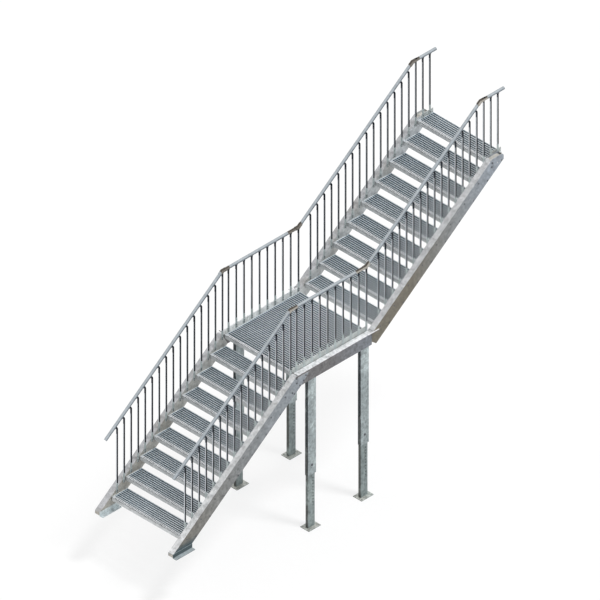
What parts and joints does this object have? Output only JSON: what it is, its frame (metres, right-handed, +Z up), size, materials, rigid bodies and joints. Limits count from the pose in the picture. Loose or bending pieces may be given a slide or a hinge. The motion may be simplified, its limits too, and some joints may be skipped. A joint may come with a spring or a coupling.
{
  "type": "steel staircase",
  "caption": "Straight galvanised steel staircase with grating treads, a level landing on telescopic legs and round tube handrails on upright balusters.",
  "frame": {"origin": "middle of the overall footprint, on the plane under the four base plates", "axes": "+Y along the climb, from the bottom step to the top step; +Z up; +X to the right of a person who climbs"},
  "size_m": [1.418, 5.743, 4.8295],
  "materials": {
    "foot": "hot-dip galvanised, mottled",
    "lower_stringer": "hot-dip galvanised, mottled",
    "landing_beam": "hot-dip galvanised, mottled",
    "upper_stringer": "hot-dip galvanised, mottled",
    "kerb": "hot-dip galvanised, mottled",
    "baluster": "hot-dip galvanised, mottled",
    "rail": "hot-dip galvanised, mottled",
    "leg_sleeve": "hot-dip galvanised, mottled",
    "leg_tube": "hot-dip galvanised, mottled",
    "grating": "hot-dip galvanised, mottled"
  },
  "bodies": {
    "root": {"foot_left": "foot", "stringer_lower_left": "lower_stringer", "landing_beam_left": "landing_beam", "stringer_upper_left": "upper_stringer", "landing_kerb_left": "kerb", "balusters_lower_left": "baluster", "balusters_landing_left": "baluster", "balusters_upper_left": "baluster", "rail_lower_left": "rail", "rail_landing_left": "rail", "rail_upper_left": "rail", "rail_top_left": "rail", "leg_outer_front_left": "leg_sleeve", "leg_inner_front_left": "leg_tube", "leg_outer_rear_left": "leg_sleeve", "leg_inner_rear_left": "leg_tube", "foot_right": "foot", "stringer_lower_right": "lower_stringer", "landing_beam_right": "landing_beam", "stringer_upper_right": "upper_stringer", "landing_kerb_right": "kerb", "balusters_lower_right": "baluster", "balusters_landing_right": "baluster", "balusters_upper_right": "baluster", "rail_lower_right": "rail", "rail_landing_right": "rail", "rail_upper_right": "rail", "rail_top_right": "rail", "leg_outer_front_right": "leg_sleeve", "leg_inner_front_right": "leg_tube", "leg_outer_rear_right": "leg_sleeve", "leg_inner_rear_right": "leg_tube", "tread_01": "grating", "tread_02": "grating", "tread_03": "grating", "tread_04": "grating", "tread_05": "grating", "tread_06": "grating", "tread_07": "grating", "tread_08": "grating", "tread_09": "grating", "tread_10": "grating", "tread_11": "grating", "tread_12": "grating", "tread_13": "grating", "tread_14": "grating", "tread_15": "grating", "tread_16": "grating", "tread_17": "grating", "landing_grating": "grating", "top_kerbs": "kerb"}
  },
  "joints": []
}
